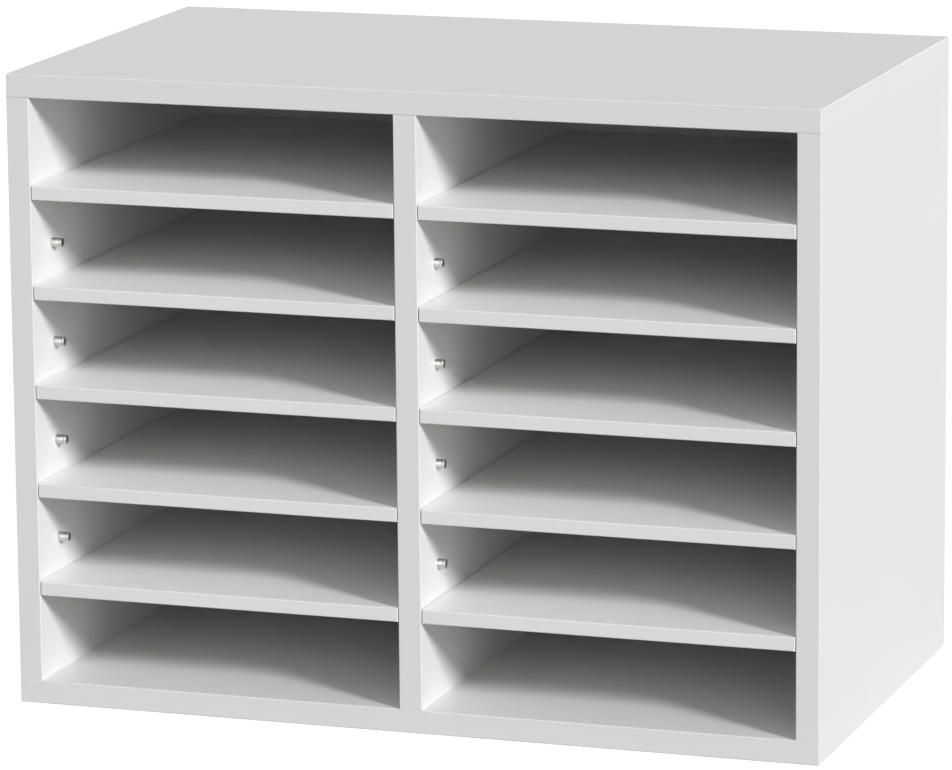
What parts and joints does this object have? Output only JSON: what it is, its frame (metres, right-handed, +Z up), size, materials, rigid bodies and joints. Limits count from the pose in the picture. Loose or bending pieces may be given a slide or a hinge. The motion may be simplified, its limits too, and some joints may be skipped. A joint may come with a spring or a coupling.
{
  "type": "literature organizer",
  "caption": "Open-front desktop literature organizer: a white board case with a centre divider, stacked flat compartments and slide-out shelves resting on metal pins.",
  "frame": {"origin": "centre of the case's footprint, on the surface that it stands on", "axes": "+Z up, +Y from the open front to the back panel, +X to the right as seen from the open front"},
  "size_m": [0.53, 0.311, 0.407],
  "materials": {
    "case_board": "white melamine-faced particle board, smooth satin, raw core on the rear edges",
    "case_edge_band": "white plastic edge band, satin",
    "shelf_board": "white melamine-faced board, smooth satin, a little lighter than the case",
    "shelf_edge_band": "white plastic edge band, satin, a little lighter than the case",
    "back_sheet": "light grey lacquered hardboard",
    "pin_nickel": "nickel-plated, satin",
    "dowel_beech": "raw beech",
    "cam_zinc": "die-cast zinc",
    "screw_steel": "zinc-plated steel"
  },
  "bodies": {
    "case": {"top_panel": "case_board", "bottom_panel": "case_board", "left_side_panel": "case_board", "right_side_panel": "case_board", "centre_divider": "case_board", "back_panel": "back_sheet", "top_front_band": "case_edge_band", "bottom_front_band": "case_edge_band", "left_side_front_band": "case_edge_band", "right_side_front_band": "case_edge_band", "divider_front_band": "case_edge_band", "top_left_end_band": "case_edge_band", "top_right_end_band": "case_edge_band", "bottom_left_end_band": "case_edge_band", "bottom_right_end_band": "case_edge_band", "left_side_pins": "pin_nickel", "right_side_pins": "pin_nickel", "divider_pins": "pin_nickel", "wooden_dowels": "dowel_beech", "cam_bolts": "screw_steel", "left_cam_lock": "cam_zinc", "centre_cam_lock": "cam_zinc", "right_cam_lock": "cam_zinc", "connecting_screws": "screw_steel", "back_nails": "screw_steel"},
    "left_shelf_1": {"left_shelf_1": "shelf_board", "left_shelf_1_band": "shelf_edge_band"},
    "left_shelf_2": {"left_shelf_2": "shelf_board", "left_shelf_2_band": "shelf_edge_band"},
    "left_shelf_3": {"left_shelf_3": "shelf_board", "left_shelf_3_band": "shelf_edge_band"},
    "left_shelf_4": {"left_shelf_4": "shelf_board", "left_shelf_4_band": "shelf_edge_band"},
    "left_shelf_5": {"left_shelf_5": "shelf_board", "left_shelf_5_band": "shelf_edge_band"},
    "right_shelf_1": {"right_shelf_1": "shelf_board", "right_shelf_1_band": "shelf_edge_band"},
    "right_shelf_2": {"right_shelf_2": "shelf_board", "right_shelf_2_band": "shelf_edge_band"},
    "right_shelf_3": {"right_shelf_3": "shelf_board", "right_shelf_3_band": "shelf_edge_band"},
    "right_shelf_4": {"right_shelf_4": "shelf_board", "right_shelf_4_band": "shelf_edge_band"},
    "right_shelf_5": {"right_shelf_5": "shelf_board", "right_shelf_5_band": "shelf_edge_band"}
  },
  "joints": [
    {"name": "left_shelf_1_slide", "type": "slide", "parent": "case", "child": "left_shelf_1", "axis": [0, -1, 0], "range_m": [0, 0.31]},
    {"name": "left_shelf_2_slide", "type": "slide", "parent": "case", "child": "left_shelf_2", "axis": [0, -1, 0], "range_m": [0, 0.31]},
    {"name": "left_shelf_3_slide", "type": "slide", "parent": "case", "child": "left_shelf_3", "axis": [0, -1, 0], "range_m": [0, 0.31]},
    {"name": "left_shelf_4_slide", "type": "slide", "parent": "case", "child": "left_shelf_4", "axis": [0, -1, 0], "range_m": [0, 0.31]},
    {"name": "left_shelf_5_slide", "type": "slide", "parent": "case", "child": "left_shelf_5", "axis": [0, -1, 0], "range_m": [0, 0.31]},
    {"name": "right_shelf_1_slide", "type": "slide", "parent": "case", "child": "right_shelf_1", "axis": [0, -1, 0], "range_m": [0, 0.31]},
    {"name": "right_shelf_2_slide", "type": "slide", "parent": "case", "child": "right_shelf_2", "axis": [0, -1, 0], "range_m": [0, 0.31]},
    {"name": "right_shelf_3_slide", "type": "slide", "parent": "case", "child": "right_shelf_3", "axis": [0, -1, 0], "range_m": [0, 0.31]},
    {"name": "right_shelf_4_slide", "type": "slide", "parent": "case", "child": "right_shelf_4", "axis": [0, -1, 0], "range_m": [0, 0.31]},
    {"name": "right_shelf_5_slide", "type": "slide", "parent": "case", "child": "right_shelf_5", "axis": [0, -1, 0], "range_m": [0, 0.31]}
  ]
}
